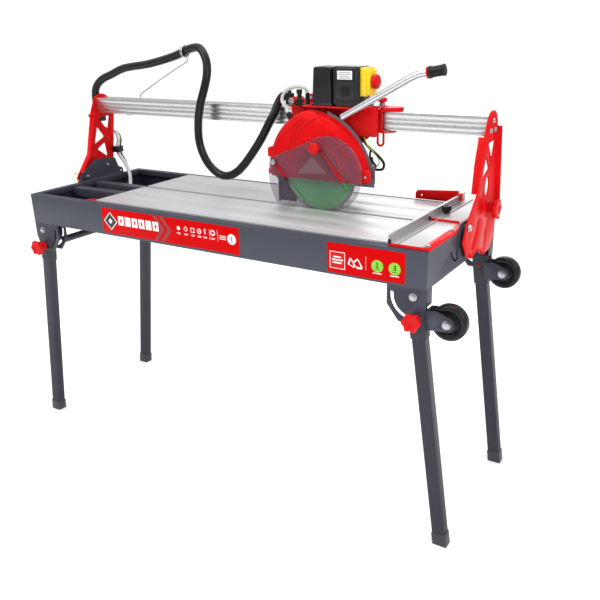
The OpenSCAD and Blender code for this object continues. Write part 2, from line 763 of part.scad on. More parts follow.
module arm_bolts() {
  color(steel) {
    // depth screw's spring
    for (i = [0:2]) translate([depth_x, depth_y, 1191.4 + i * 2.6]) rotate_extrude()
      translate([7.5, 0]) circle(r = 1.3, $fn = 12);
    // bolts that hold the guard
    yrod(guard_y1 + 4, arm_y0, 212, 1120, 7);
    yrod(guard_y1 + 4, arm_y0, 300, 1160, 7);
    yrod(guard_y1 + 4, arm_y0 - 14, 361, 1130, 7);
    // sliding screw of the shield
    yrod(lens_y0 - 2, guard_y0 + 4, shield_bolt[0], shield_bolt[1], 3);
    yrod(lens_y0 - 6, lens_y0 - 1, shield_bolt[0], shield_bolt[1], 8);
    // tab screws
    translate([449, -28, 1000]) rotate([90, 0, 0]) cylinder(r = 4, h = 3);
    // motor flange screws
    for (a = [45, 135, 225, 315]) translate([blade_x + 70 * cos(a), arm_y1, blade_z + 70 * sin(a)])
      rotate([-90, 0, 0]) cylinder(r = 5, h = 5);
  }
}
module depth_knob() {
  color(red) {
    zrod(1181.4, 1201, depth_x, depth_y, 4);
    translate([depth_x, depth_y, 1200]) lobed_head(15, 13, 6);
  }
}

// ---- blade ----
module blade_core() {
  color([0.2, 0.62, 0.3]) difference() {
    yrod(blade_y - 1.1, blade_y + 1.1, blade_x, blade_z, blade_d / 2 - 8);
    yrod(blade_y - 5, blade_y + 5, blade_x, blade_z, 12.5);
  }
}
module blade_rim() {
  color(steel) difference() {
    yrod(blade_y - 1.3, blade_y + 1.3, blade_x, blade_z, blade_d / 2);
    yrod(blade_y - 5, blade_y + 5, blade_x, blade_z, blade_d / 2 - 8);
  }
}
module blade_flange() {
  color(steel) {
    yrod(blade_y - 12, guard_y1 + 4.5, blade_x, blade_z, 12.5);
    yrod(guard_y1 + 4, arm_y1 - 1, blade_x, blade_z, 8);
    yrod(blade_y + 1.1, blade_y + 6, blade_x, blade_z, 30);
    yrod(blade_y - 6, blade_y - 1.1, blade_x, blade_z, 30);
    translate([blade_x, blade_y - 6, blade_z]) rotate([90, 0, 0]) cylinder(r = 17, h = 9, $fn = 6);
  }
}

// ---- clear shield that slides on the front of the guard ----
module lens_slot(p, d) {
  w = 5;
  a = atan2(d[1], d[0]);
  translate(p) rotate(a) {
    translate([0, -w]) square([norm(d), 2 * w]);
    circle(r = w);
    translate([norm(d), 0]) circle(r = w);
  }
}
module clear_shield() {
  color([0.5, 0.45, 0.5, 0.45]) {
    yplate(lens_y0, lens_y1) difference() {
      union() {
        polygon([[140, 896], [150, 890], [330, 889], [330, 1111], [300, 1106], [243, 1083], [142, 1043],
          [126, 1034], [117, 1018], [114, 996], [116, 955], [128, 920]]);
        translate([330, 1000]) circle(r = 111, $fn = 96);
      }
      lens_slot(shield_bolt, slot_run);
      lens_slot(shield_knob, slot_run);
    }
  }
}
module shield() {
  // the foot is cut so that it clears the table when the bridge tilts
  difference() {
    clear_shield();
    translate([0, tilt_y, tilt_z]) rotate([-45, 0, 0]) span([0, -80, -60], [500, 80, table_z - tilt_z + 0.4]);
  }
}
module shield_knob() {
  color(red) translate([shield_knob[0], 0, shield_knob[1]]) {
    yrod(lens_y0 - 14, guard_y0 + 5, 0, 0, 4);
    yrod(lens_y0 - 8, lens_y0 - 0.4, 0, 0, 11);
    translate([0, lens_y0 - 8, 0]) rotate([90, 0, 0]) lobed_head(19, 16, 6);
  }
}

// ---- hoses and cables ----
// rings round a route, closed at both ends
function unit(v) = v / norm(v);
function along(p, i) = unit(p[min(i + 1, len(p) - 1)] - p[max(i - 1, 0)]);
function spline(a, b, c, d, t) = 0.5 * (2 * b + (c - a) * t + (2 * a - 5 * b + 4 * c - d) * t * t
  + (3 * b - a - 3 * c + d) * t * t * t);
function smooth(p, n) = [for (i = [0:len(p) - 2]) for (k = [0:n - 1])
  spline(p[max(i - 1, 0)], p[i], p[i + 1], p[min(i + 2, len(p) - 1)], k / n), p[len(p) - 1]];
module tube(route, r, sides, up = [0.13, 0.97, 0.21]) {
  n = len(route);
  pts = [for (i = [0:n - 1]) let (d = along(route, i), u = unit(cross(d, up)), v = cross(d, u))
    for (k = [0:sides - 1]) route[i] + r * (cos(k * 360 / sides) * u + sin(k * 360 / sides) * v)];
  faces = concat(
    [for (i = [0:n - 2]) for (k = [0:sides - 1])
      [i * sides + k, (i + 1) * sides + k, i * sides + (k + 1) % sides]],
    [for (i = [0:n - 2]) for (k = [0:sides - 1])
      [i * sides + (k + 1) % sides, (i + 1) * sides + k, (i + 1) * sides + (k + 1) % sides]],
    [[for (k = [0:sides - 1]) k]], [[for (k = [sides - 1:-1:0]) (n - 1) * sides + k]]);
  polyhedron(pts, faces);
}
hose_route = [[-790, 122, 1122], [-790, 122, 1150], [-788, 122, 1178], [-782, 122, 1202], [-765, 122, 1223],
  [-735, 122, 1241], [-690, 122, 1256], [-618, 122, 1280],
  [-493, 122, 1296], [-366, 115, 1323], [-288, 106, 1347], [-236, 95, 1348], [-204, 84, 1312],
  [-196, 72, 1266],
  [-205, 62, 1219], [-222, 58, 1171], [-236, 57, 1110], [-236, 57, 1037], [-203, 58, 972], [-145, 60, 938],
  [-76, 60, 962], [7, 59, 1052], [55, 63, 1126], [68, 75, 1156], [74, 84, 1178], [82, 90, 1196],
  [92, 92, 1205.5],
  [102.3, 92, 1207]];
module main_hose() color(dark) tube(smooth(hose_route, 3), hose_r, 12);
tube_route = [[-582, -78, 800], [-585, -50, 800], [-600, 0, 800], [-632, 70, 806], [-664, 126, 838],
  [-684, 150, 884], [-712, 160, 922], [-742, 165, 948], [-748, 165, 962], [-748, 165, 984],
  [-750, 176, 1008], [-772, 190, 1030],
  [-791, 182, 1044], [-789, 158, 1050], [-786, 134, 1056], [-785.5, 122, 1072], [-785.5, 122, 1090],
  [-785.5, 122, 1104]];
module pump_tube() color([0.8, 0.82, 0.84, 0.7]) tube(smooth(tube_route, 3), tube_r, 10);
cable_route = [[-598, -97, 824], [-604, -60, 826], [-622, 0, 822], [-652, 76, 824], [-686, 138, 858],
  [-702, 164, 896], [-722, 174, 926], [-743, 178.6, 948], [-748, 178.6, 962], [-748, 178.6, 984],
  [-752, 190, 1008], [-778, 203, 1030], [-804, 190, 1046], [-802, 158, 1054], [-799, 132, 1062],
  [-797.8, 122, 1078],
  [-797.8, 122, 1092], [-797.8, 122, 1104]];
module pump_cable() color(dark) tube(smooth(cable_route, 3), cable_r, 8);
water_route = [[173, -6, 1167], [163, 4, 1175], [148, 22, 1180], [132, 36, 1186], [120, 44, 1196],
  [119, 48, 1210], [130, 50, 1226], [152, 51, 1237], [178, 52, 1240], [198, 52, 1236], [208, 52, 1222]];
module water_tube() color([0.75, 0.75, 0.74]) tube(smooth(water_route, 4), 5.5, 10);
loop_route = [[400, 53, 1104], [402, 54, 1088], [418, 65, 1066], [440, 75, 1044], [453, 84, 1022],
  [446, 92, 1004], [426, 104, 997], [404, 114, 996], [383, 120, 998]];
module head_cables() color(dark) tube(smooth(loop_route, 3), 4, 8);

// the origin lies under the middle of the whole outline, from the left foot to the right wheel
module place() translate([-x_mid, 0, 0]) children();

place() basin();
place() table_front();
place() table_rear();
place() support_beams();
place() leg_brackets();
place() tilt_brackets();
place() frame_bolts();
place() pump();
place() fence_front();
place() fence_rear();
place() fence_strip();
place() front_labels();
place() side_stop();
place() stop_knob();
place() leg_lf();
place() leg_lr();
place() leg_rf();
place() leg_rr();
place() fork_front();
place() fork_rear();
place() front_wheel();
place() rear_wheel();
place() leg_knob_lf();
place() leg_knob_lr();
place() leg_knob_rf();
place() leg_knob_rr();
place() left_pillar();
place() right_pillar();
place() rail();
place() rail_bolts();
place() hose_holder();
place() hose_clips();
place() tilt_knob();
place() carriage();
place() pivot_pin();
place() slide_pads();
place() arm_plate();
place() motor();
place() back_plate();
place() guard();
place() splash_flap();
place() handle_tube();
place() handle_grip();
place() capacitor_box();
place() switch_box();
place() switch_housing();
place() water_valve();
place() arm_bolts();
place() depth_knob();
place() blade_core();
place() blade_rim();
place() blade_flange();
place() shield();
place() shield_knob();
place() estop_button();
place() main_hose();
place() pump_tube();
place() pump_cable();
place() water_tube();
place() head_cables();
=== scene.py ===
import json
import math
import bmesh
import bpy
from mathutils import Matrix, Vector


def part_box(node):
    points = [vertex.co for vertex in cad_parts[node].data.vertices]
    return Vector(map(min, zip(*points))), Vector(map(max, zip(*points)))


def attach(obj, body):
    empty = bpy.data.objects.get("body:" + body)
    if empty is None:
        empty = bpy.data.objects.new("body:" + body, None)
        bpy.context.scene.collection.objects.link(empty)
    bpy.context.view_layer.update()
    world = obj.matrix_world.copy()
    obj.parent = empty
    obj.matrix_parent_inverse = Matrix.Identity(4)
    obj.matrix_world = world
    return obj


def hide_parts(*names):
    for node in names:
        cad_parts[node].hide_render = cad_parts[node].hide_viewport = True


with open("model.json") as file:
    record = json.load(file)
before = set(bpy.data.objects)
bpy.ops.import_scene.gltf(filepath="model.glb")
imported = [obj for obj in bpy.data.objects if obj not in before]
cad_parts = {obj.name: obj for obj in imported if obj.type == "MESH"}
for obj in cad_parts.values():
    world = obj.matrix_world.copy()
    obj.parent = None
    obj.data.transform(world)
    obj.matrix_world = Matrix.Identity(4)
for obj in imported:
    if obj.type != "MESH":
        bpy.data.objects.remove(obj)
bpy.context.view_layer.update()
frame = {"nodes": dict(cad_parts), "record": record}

MM = 0.001
lo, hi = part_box("basin")
X_MID = -(lo[0] + hi[0]) / 2


def at(x, y, z):
    """A point given in millimetres from the middle of the basin."""
    return Vector((x * MM - X_MID, y * MM, z * MM))


# ---- camera ----
AZ, EL, ROLL = math.radians(31.461), math.radians(21.49), math.radians(-1.156)
back = Vector((math.sin(AZ) * math.cos(EL), -math.cos(AZ) * math.cos(EL), math.sin(EL)))
side = (-back).cross(Vector((0, 0, 1))).normalized()
rise = side.cross(-back)
right = math.cos(ROLL) * side + math.sin(ROLL) * rise
up = -math.sin(ROLL) * side + math.cos(ROLL) * rise
cam = bpy.data.objects.new("camera", bpy.data.cameras.new("camera"))
cam.data.lens = 43.12
cam.data.sensor_width = 36
cam.data.shift_x = -0.030
cam.data.shift_y = 0.0097
cam.matrix_world = Matrix((right, up, back)).transposed().to_4x4()
cam.location = (1.409 - X_MID, -1.875, 1.42)
bpy.context.scene.collection.objects.link(cam)
bpy.context.scene.camera = cam


# ---- materials ----
def nodes_of(name):
    """A new material, its node tree and its shader."""
    mat = bpy.data.materials.new(name)
    mat.use_nodes = True
    tree = mat.node_tree
    return mat, tree, tree.nodes["Principled BSDF"]


def put(tree, kind, **values):
    """Adds a node, with its inputs or its settings given by name."""
    node = tree.nodes.new(kind)
    for key, value in values.items():
        if key in node.inputs:
            node.inputs[key].default_value = value
        else:
            setattr(node, key, value)
    return node


def noise_of(tree, scale, stretch, detail=4.0):
    """Noise in the object's own coordinates; a small stretch draws it out along that axis."""
    coord = put(tree, "ShaderNodeTexCoord")
    place = put(tree, "ShaderNodeMapping", Scale=stretch)
    tree.links.new(coord.outputs["Object"], place.inputs["Vector"])
    noise = put(tree, "ShaderNodeTexNoise", Scale=scale, Detail=detail, Roughness=0.6)
    tree.links.new(place.outputs["Vector"], noise.inputs["Vector"])
    return noise


def ranged(tree, source, low, high, from_low=0.3, from_high=0.7):
    """Maps a value to the range from low to high."""
    node = put(tree, "ShaderNodeMapRange")
    node.inputs["From Min"].default_value = from_low
    node.inputs["From Max"].default_value = from_high
    node.inputs["To Min"].default_value = low
    node.inputs["To Max"].default_value = high
    tree.links.new(source, node.inputs["Value"])
    return node.outputs["Result"]


def blend_colours(tree, factor, a, b):
    mix = put(tree, "ShaderNodeMix", data_type="RGBA")
    if isinstance(a, bpy.types.NodeSocket):
        tree.links.new(a, mix.inputs[6])
    else:
        mix.inputs[6].default_value = (*a, 1)
    mix.inputs[7].default_value = (*b, 1)
    tree.links.new(factor, mix.inputs[0])
    return mix.outputs[2]


def shade(c, k):
    return tuple(min(1.0, v * k) for v in c)


def surface(name, colour, rough=0.4, metal=0.0, coat=0.0, vary=0.10, blotch=9.0, grain=600.0, bump=0.1,
            depth=0.0002, stretch=(1, 1, 1), spread=0.08, edge_highlight=None, alpha=1.0, spec=0.5):
    """A material with blotches in its colour, grain in its roughness and relief, and, if asked, a lighter
    colour on sharp edges as a painted highlight.
    """
    mat, tree, bsdf = nodes_of(name)
    clouds = noise_of(tree, blotch, stretch)
    colours = blend_colours(tree, ranged(tree, clouds.outputs["Fac"], 0, 1), shade(colour, 1 - vary),
                            shade(colour, 1 + vary))
    # sharp edges take the lighter edge colour: a painted highlight
    if edge_highlight:
        geometry = put(tree, "ShaderNodeNewGeometry")
        edge = ranged(tree, geometry.outputs["Pointiness"], 0, 0.5, 0.53, 0.62)
        colours = blend_colours(tree, edge, colours, edge_highlight)
    tree.links.new(colours, bsdf.inputs["Base Color"])
    fine = noise_of(tree, grain, stretch, 3.0)
    tree.links.new(ranged(tree, fine.outputs["Fac"], rough - spread, rough + spread),
                   bsdf.inputs["Roughness"])
    relief = put(tree, "ShaderNodeBump", Strength=bump, Distance=depth)
    tree.links.new(fine.outputs["Fac"], relief.inputs["Height"])
    tree.links.new(relief.outputs["Normal"], bsdf.inputs["Normal"])
    bsdf.inputs["Metallic"].default_value = metal
    bsdf.inputs["Coat Weight"].default_value = coat
    bsdf.inputs["Coat Roughness"].default_value = 0.12
    bsdf.inputs["Specular IOR Level"].default_value = spec
    bsdf.inputs["Alpha"].default_value = alpha
    return mat


BRIGHT = surface("bright_aluminium", (0.74, 0.74, 0.76), 0.26, 0.95, vary=0.05, stretch=(0.03, 1, 1),
                 grain=1500, bump=0.1, blotch=60)
POLISHED = surface("polished_tube", (0.66, 0.66, 0.68), 0.20, 1.0, vary=0.03, grain=300, bump=0.02,
                   spread=0.03)
SLATE = (0.040, 0.042, 0.061)
RED = (0.66, 0.006, 0.008)
# the edge colours given here are lighter than their paint: painted highlights on sharp edges
LOOKS = {
    "frame_paint": dict(colour=SLATE, rough=0.40, vary=0.07, grain=900, bump=0.18, edge_highlight=(0.11, 0.12, 0.15),
                        spec=0.22),
    "red_paint": dict(colour=RED, rough=0.24, vary=0.05, grain=700, bump=0.08, edge_highlight=(0.9, 0.04, 0.03),
                      spec=0.04),
    "table_aluminium": dict(colour=(0.60, 0.60, 0.61), rough=0.44, metal=0.55, vary=0.06,
                            stretch=(0.03, 1, 1), grain=1500, bump=0.2, blotch=60),
    "zinc_steel": dict(colour=(0.46, 0.47, 0.49), rough=0.28, metal=1.0, vary=0.1, grain=1200, blotch=80),
    "black_plastic": dict(colour=(0.010, 0.010, 0.012), rough=0.34, vary=0.15, grain=1800, bump=0.3,
                          spec=0.25),
    "charcoal_plastic": dict(colour=(0.014, 0.014, 0.017), rough=0.26, vary=0.10, grain=2000, bump=0.25,
                             edge_highlight=(0.05, 0.05, 0.055), spec=0.3),
    "red_plastic": dict(colour=(0.66, 0.008, 0.010), rough=0.28, vary=0.06, grain=1500, bump=0.2, spec=0.14),
    "yellow_plastic": dict(colour=(0.95, 0.66, 0.01), rough=0.36, vary=0.05, grain=1500, bump=0.2),
    "label_film": dict(colour=(0.60, 0.002, 0.003), rough=0.34, vary=0.03, grain=900, bump=0.05, spec=0.04),
    "motor_paint": dict(colour=(0.014, 0.014, 0.016), rough=0.36, vary=0.15, grain=1000, bump=0.3, spec=0.3),
    "blade_paint": dict(colour=(0.16, 0.80, 0.26), rough=0.38, vary=0.12, grain=900, bump=0.15, blotch=30),
    "blade_segment": dict(colour=(0.42, 0.41, 0.38), rough=0.55, metal=0.6, vary=0.2, grain=2500, bump=0.7,
                          blotch=200),
    "black_rubber": dict(colour=(0.008, 0.008, 0.009), rough=0.26, vary=0.2, grain=1500, bump=0.3, spec=0.28),
    "pump_plastic": dict(colour=(0.42, 0.010, 0.030), rough=0.35, vary=0.2, grain=900, bump=0.2),
    "clear_tube": dict(colour=(0.62, 0.63, 0.62), rough=0.22, vary=0.1, grain=500, coat=0.4, alpha=0.85),
    "grey_tube": dict(colour=(0.50, 0.50, 0.47), rough=0.30, vary=0.15, grain=500, coat=0.3),
    "smoke_shield": dict(colour=(0.13, 0.09, 0.13), rough=0.06, vary=0.05, grain=60, bump=0.02, blotch=6,
                         spread=0.02, alpha=0.32, spec=0.3),
}
FINISH = {slot: surface(slot, **look) for slot, look in LOOKS.items()}

# fine ribs along the table
tree = FINISH["table_aluminium"].node_tree
old_relief = [n for n in tree.nodes if n.bl_idname == "ShaderNodeBump"][0]
where = put(tree, "ShaderNodeTexCoord")
ribs = put(tree, "ShaderNodeTexWave", bands_direction="Y", Scale=50.0)
tree.links.new(where.outputs["Object"], ribs.inputs["Vector"])
ripple = put(tree, "ShaderNodeBump", Strength=0.35, Distance=0.0006)
tree.links.new(ribs.outputs["Fac"], ripple.inputs["Height"])
tree.links.new(ripple.outputs["Normal"], old_relief.inputs["Normal"])
SLOT_OF = {row["node"]: row["material_slot"] for row in frame["record"]["subparts"]}
BODY_OF = {node: body for body, nodes in frame["record"]["behaviour"]["bodies"].items() for node in nodes}
DONE = set()  # the CAD nodes that a visible piece already stands for


# ---- building helpers ----
def piece(name, mesh, body, slot, mat=None, replaces=()):
    """Adds a visible piece to a body and notes the CAD nodes it stands for."""
    obj = bpy.data.objects.new(name, mesh)
    bpy.context.scene.collection.objects.link(obj)
    obj.data.materials.append(mat or FINISH[slot])
    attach(obj, body)
    if replaces:
        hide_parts(*replaces)
        DONE.update(replaces)
    return obj


def settle(obj):
    """Applies an object's modifiers to its mesh."""
    deps = bpy.context.evaluated_depsgraph_get()
    mesh = bpy.data.meshes.new_from_object(obj.evaluated_get(deps))
    obj.modifiers.clear()
    obj.data = mesh


def by_angle(mesh, degrees=35):
    """Smooth shading, with sharp edges where the faces turn by more than an angle."""
    mesh.set_sharp_from_angle(angle=math.radians(degrees))
    mesh.polygons.foreach_set("use_smooth", [True] * len(mesh.polygons))


def bevelled(obj, width, segments=2, material=-1):
    """Rounds an object's sharp edges."""
    mod = obj.modifiers.new("bevel", "BEVEL")
    mod.width = width
    mod.segments = segments
    mod.limit_method = "ANGLE"
    mod.angle_limit = math.radians(32)
    mod.material = material
    mod.use_clamp_overlap = True
    settle(obj)
    by_angle(obj.data, 40)


def soften(node, width, segments=2, mat=None):
    """A copy of a CAD node with its edges rounded over, standing for it."""
    src = frame["nodes"][node]
    bm = bmesh.new()
    bm.from_mesh(src.data)
    bmesh.ops.remove_doubles(bm, verts=bm.verts, dist=1e-6)
    bmesh.ops.dissolve_limit(bm, angle_limit=math.radians(1), verts=bm.verts, edges=bm.edges)
    mesh = bpy.data.meshes.new(node + "_shape")
    bm.to_mesh(mesh)
    bm.free()
    obj = piece(node + "_shape", mesh, BODY_OF[node], SLOT_OF[node], mat, (node,))
    bevelled(obj, width, segments)
    return obj


def spline(points, steps):
    """The points of a smooth route through the given ones."""
    out = []
    n = len(points)
    for i in range(n - 1):
        a, b, c, d = points[max(i - 1, 0)], points[i], points[i + 1], points[min(i + 2, n - 1)]
        for k in range(steps):
            t = k / steps
            out.append(0.5 * (2 * b + (c - a) * t + (2 * a - 5 * b + 4 * c - d) * t * t
                              + (3 * b - a - 3 * c + d) * t ** 3))
    out.append(points[-1])
    return out


def wire(name, route, radius, body, slot, mat=None, replaces=(), steps=3, fine=3):
    """A round rod or hose along a smoothed route; returns the piece and its centre line."""
    curve = bpy.data.curves.new(name, "CURVE")
    curve.dimensions = "3D"
    curve.bevel_depth = radius
    curve.bevel_resolution = fine
    curve.use_fill_caps = True
    path = spline([at(*p) for p in route], steps)
    line = curve.splines.new("POLY")
    line.points.add(len(path) - 1)
    for point, p in zip(line.points, path):
        point.co = (*p, 1)
    line.use_smooth = True
    return piece(name, curve, body, slot, mat, replaces), path


# ---- hoses and cables ----
# radius in mm, smoothing steps, body, stiffness, route
CORDS = {
    "main_hose": (14, 3, "bridge", "stiff", [
        (-790, 122, 1122), (-790, 122, 1150), (-788, 122, 1178), (-782, 122, 1202), (-765, 122, 1223),
        (-735, 122, 1241), (-690, 122, 1256), (-618, 122, 1280), (-493, 122, 1296), (-366, 115, 1323),
        (-288, 106, 1347), (-236, 95, 1348), (-204, 84, 1312), (-196, 72, 1266), (-205, 62, 1219),
        (-222, 58, 1171), (-236, 57, 1110), (-236, 57, 1037), (-203, 58, 972), (-145, 60, 938),
        (-76, 60, 962), (7, 59, 1052), (55, 63, 1126), (68, 75, 1156), (74, 84, 1178), (82, 90, 1196),
        (92, 92, 1205.5), (102.3, 92, 1207)]),
    "pump_tube": (7, 3, "base", "medium", [
        (-582, -78, 800), (-585, -50, 800), (-600, 0, 800), (-632, 70, 806), (-664, 126, 838),
        (-684, 150, 884), (-712, 160, 922), (-742, 165, 948), (-748, 165, 962), (-748, 165, 984),
        (-750, 176, 1008), (-772, 190, 1030), (-791, 182, 1044), (-789, 158, 1050), (-786, 134, 1056),
        (-785.5, 122, 1072), (-785.5, 122, 1090), (-785.5, 122, 1104)]),
    "pump_cable": (3.5, 3, "base", "medium", [
        (-598, -97, 824), (-604, -60, 826), (-622, 0, 822), (-652, 76, 824), (-686, 138, 858),
        (-702, 164, 896), (-722, 174, 926), (-743, 178.6, 948), (-748, 178.6, 962), (-748, 178.6, 984),
        (-752, 190, 1008), (-778, 203, 1030), (-804, 190, 1046), (-802, 158, 1054), (-799, 132, 1062),
        (-797.8, 122, 1078), (-797.8, 122, 1092), (-797.8, 122, 1104)]),
    "water_tube": (5.5, 4, "arm", "medium", [
        (173, -6, 1167), (163, 4, 1175), (148, 22, 1180), (132, 36, 1186), (120, 44, 1196), (119, 48, 1210),
        (130, 50, 1226), (152, 51, 1237), (178, 52, 1240), (198, 52, 1236), (208, 52, 1222)]),
    "head_cables": (4, 3, "arm", "medium", [
        (400, 53, 1104), (402, 54, 1088), (418, 65, 1066), (440, 75, 1044), (453, 84, 1022),
        (446, 92, 1004), (426, 104, 997), (404, 114, 996), (383, 120, 998)]),
}
for node, (radius, steps, body, stiffness, route) in CORDS.items():
    tube, path = wire(node + "_run", route, radius * MM, body, SLOT_OF[node], replaces=(node,), steps=steps)

# ---- detail: turned and lobed shapes ----
def facing(origin, axis):
    """Places a shape drawn on +Z so that it points along axis from origin."""
    return Matrix.Translation(origin) @ Vector(axis).to_track_quat("Z", "Y").to_matrix().to_4x4()


def rings_mesh(name, rings, place, cap=True):
    """Skins rows of points, each a closed ring, given in millimetres."""
    verts, faces = [], []
    n = len(rings[0])
    for ring in rings:
        verts += [place @ (Vector(p) * MM) for p in ring]
    for i in range(len(rings) - 1):
        for k in range(n):
            faces.append((i * n + k, i * n + (k + 1) % n, (i + 1) * n + (k + 1) % n, (i + 1) * n + k))
    if cap:
        faces.append(tuple(reversed(range(n))))
        faces.append(tuple((len(rings) - 1) * n + k for k in range(n)))
    mesh = bpy.data.meshes.new(name)
    mesh.from_pydata(verts, [], faces)
    mesh.update()
    return mesh


def turned(name, profile, place, body, slot, mat=None, replaces=(), sides=64, degrees=35, lobes=0,
           lobe_depth=0.12, lobe_from=0.0):
    """A turned shape from (radius, height) pairs; lobes, if any, fade in with the radius."""
    widest = max(r for r, _ in profile)
    rings = []
    for r, z in profile:
        fade = 0 if not lobes else max(0.0, min(1.0, (r / widest - lobe_from) / 0.25))
        ring = []
        for k in range(sides):
            a = 2 * math.pi * k / sides
            wave = 1 - lobe_depth * fade * (0.5 - 0.5 * math.cos(lobes * a)) ** 0.8
            ring.append((r * wave * math.cos(a), r * wave * math.sin(a), z))
        rings.append(ring)
    mesh = rings_mesh(name, rings, place)
    by_angle(mesh, degrees)
    return piece(name, mesh, body, slot, mat, replaces)


def star_knob(node, centre, axis, r, h, stem, stem_from, shaft, lobes=6, depth=0.20):
    """A lobed knob of radius r and height h on its stem and shaft, for the node and body of one name."""
    profile = [(stem, stem_from), (stem, 0), (r * 0.62, 0.02 * h), (r * 0.80, 0.08 * h), (r * 0.95, 0.20 * h),
               (r, 0.34 * h), (r, 0.70 * h), (r * 0.975, 0.84 * h), (r * 0.92, 0.94 * h), (r * 0.83, h),
               (r * 0.52, h), (r * 0.47, 0.97 * h), (r * 0.44, 0.86 * h), (r * 0.16, 0.84 * h),
               (r * 0.12, 0.80 * h)]
    profile = [shaft, (shaft[0], stem_from)] + profile
    return turned(node + "_head", profile, facing(centre, axis), node, SLOT_OF[node], replaces=(node,),
                  sides=96, degrees=50, lobes=lobes, lobe_depth=depth, lobe_from=0.55)


LEAN = math.radians(7.9)
LEG_PIVOT_X, LEG_PIVOT_Z, WHEEL_Y, FORK_HALF = 713, 755, 228, 24
AXLE_X = LEG_PIVOT_X + 80.1 * math.cos(LEAN) + 77.7 * math.sin(LEAN)
AXLE_Z = LEG_PIVOT_Z + 80.1 * math.sin(LEAN) - 77.7 * math.cos(LEAN)
for leg, sx, sy in (("rf", 1, -1), ("rr", 1, 1), ("lf", -1, -1), ("lr", -1, 1)):
    spot = at(sx * (LEG_PIVOT_X + 61 * math.sin(LEAN)), sy * 283, LEG_PIVOT_Z - 61 * math.cos(LEAN))
    star_knob("leg_knob_" + leg, spot, (0, sy, 0), 27, 22, 14, -17.6, (4, -52))
star_knob("tilt_knob", at(779, 144, 908), (1, 0, 0), 29, 18, 15, -11.6, (5, -22))
star_knob("shield_knob", at(291, -45, 1076), (0, -1, 0), 19, 16, 11, -7.6, (4, -17))
star_knob("depth_knob", at(443, 89, 1200), (0, 0, 1), 15, 13, 7, -1.6, (4, -18.6))
star_knob("stop_knob", at(658, 87, 896), (0, 0, 1), 15, 18, 10, -3.6, (3, -10.7), lobes=10, depth=0.10)

# ---- wheels: a tyre on a plastic centre with its bearing boss ----
HUB_PLASTIC = surface("hub_plastic", (0.022, 0.022, 0.025), 0.34, vary=0.08, grain=1500, bump=0.25, spec=0.3)
TYRE = [(33, -13), (35, -14.6), (40, -16), (45, -15.4), (48.2, -13), (49.6, -9.6), (50, -6), (49.2, -5.4),
        (49.2, -4.4), (50, -3.8), (50, 3.8), (49.2, 4.4), (49.2, 5.4), (50, 6), (49.6, 9.6), (48.2, 13),
        (45, 15.4), (40, 16), (35, 14.6), (33, 13), (32, 10), (32, -10)]
HUB = [(6.05, -18), (11, -18), (13, -17), (14, -14), (14.6, -7), (17, -5.6), (27, -5.6), (29.5, -7),
       (31.4, -12), (33, -12.8), (32.6, -10), (32.6, 10), (33, 12.8), (31.4, 12), (29.5, 7), (27, 5.6),
       (17, 5.6), (14.6, 7), (14, 14), (13, 17), (11, 18), (6.05, 18)]


def closed_turn(name, profile, place, sides):
    """A turned mesh whose profile closes on itself."""
    rings = [[(r * math.cos(2 * math.pi * k / sides), r * math.sin(2 * math.pi * k / sides), z)
              for k in range(sides)] for r, z in profile + profile[:1]]
    mesh = rings_mesh(name, rings, place, cap=False)
    bm = bmesh.new()
    bm.from_mesh(mesh)
    bmesh.ops.remove_doubles(bm, verts=bm.verts, dist=1e-6)
    bmesh.ops.recalc_face_normals(bm, faces=bm.faces)
    bm.to_mesh(mesh)
    bm.free()
    return mesh


def prism(name, outline, a, b, axis="y"):
    """A plate drawn in the two other directions, from a to b along axis, in millimetres."""
    def lift(p, h):
        return at(p[0], h, p[1]) if axis == "y" else at(h, p[0], p[1]) if axis == "x" else at(p[0], p[1], h)
    n = len(outline)
    verts = [lift(p, a) for p in outline] + [lift(p, b) for p in outline]
    faces = [tuple(range(n)), tuple(reversed(range(n, 2 * n)))]
    faces += [(k, k + n, (k + 1) % n + n, (k + 1) % n) for k in range(n)]
    mesh = bpy.data.meshes.new(name)
    mesh.from_pydata(verts, [], faces)
    bm = bmesh.new()
    bm.from_mesh(mesh)
    bmesh.ops.recalc_face_normals(bm, faces=bm.faces)
    bm.to_mesh(mesh)
    bm.free()
    return mesh


def plate(name, outline, a, b, body, slot, axis="y", round_mm=0.8, mat=None, replaces=(), segments=2):
    """A prism as a piece, with its edges rounded."""
    obj = piece(name, prism(name, outline, a, b, axis), body, slot, mat, replaces)
    if round_mm:
        bevelled(obj, round_mm * MM, segments)
    return obj


def joined(name, parts, body, slot, mat):
    """One piece from several meshes."""
    bm = bmesh.new()
    for part in parts:
        bm.from_mesh(part)
    mesh = bpy.data.meshes.new(name)
    bm.to_mesh(mesh)
    bm.free()
    by_angle(mesh, 40)
    return piece(name, mesh, body, slot, mat)


for wheel, sy in (("front_wheel", -1), ("rear_wheel", 1)):
    place = facing(at(AXLE_X, sy * WHEEL_Y, AXLE_Z), (0, sy, 0))
    tyre = piece(wheel + "_tyre", closed_turn(wheel + "_tyre", TYRE, place, 96), wheel, "black_rubber", None,
                 (wheel,))
    by_angle(tyre.data, 40)
    spokes = [closed_turn("hub", HUB, place, 72)]
    for k in range(6):
        bar = bmesh.new()
        shape = Matrix.Translation((21.5 * MM, 0, 0)) @ Matrix.Diagonal((15 * MM, 4 * MM, 17 * MM, 1))
        bmesh.ops.create_cube(bar, size=1, matrix=place @ Matrix.Rotation(math.radians(60 * k), 4, "Z") @ shape)
        mesh = bpy.data.meshes.new("spoke")
        bar.to_mesh(mesh)
        bar.free()
        spokes.append(mesh)
    joined(wheel + "_hub", spokes, wheel, "black_rubber", HUB_PLASTIC)

# ---- blade guard: a dished cover with ribs and a raised band, open below ----
GUARD_C, GUARD_R, TRIM_C, TRIM_R = (283, 1004), 180, (230, 960), 219
FRONT, REAR, CUT_Z = -33, 12, 978
DISH = [(0, -33), (123, -33), (139, -32), (153, -30), (161, -27.4), (167, -24), (172, -20), (176, -15),
        (179, -9), (180, -3), (180, REAR)]


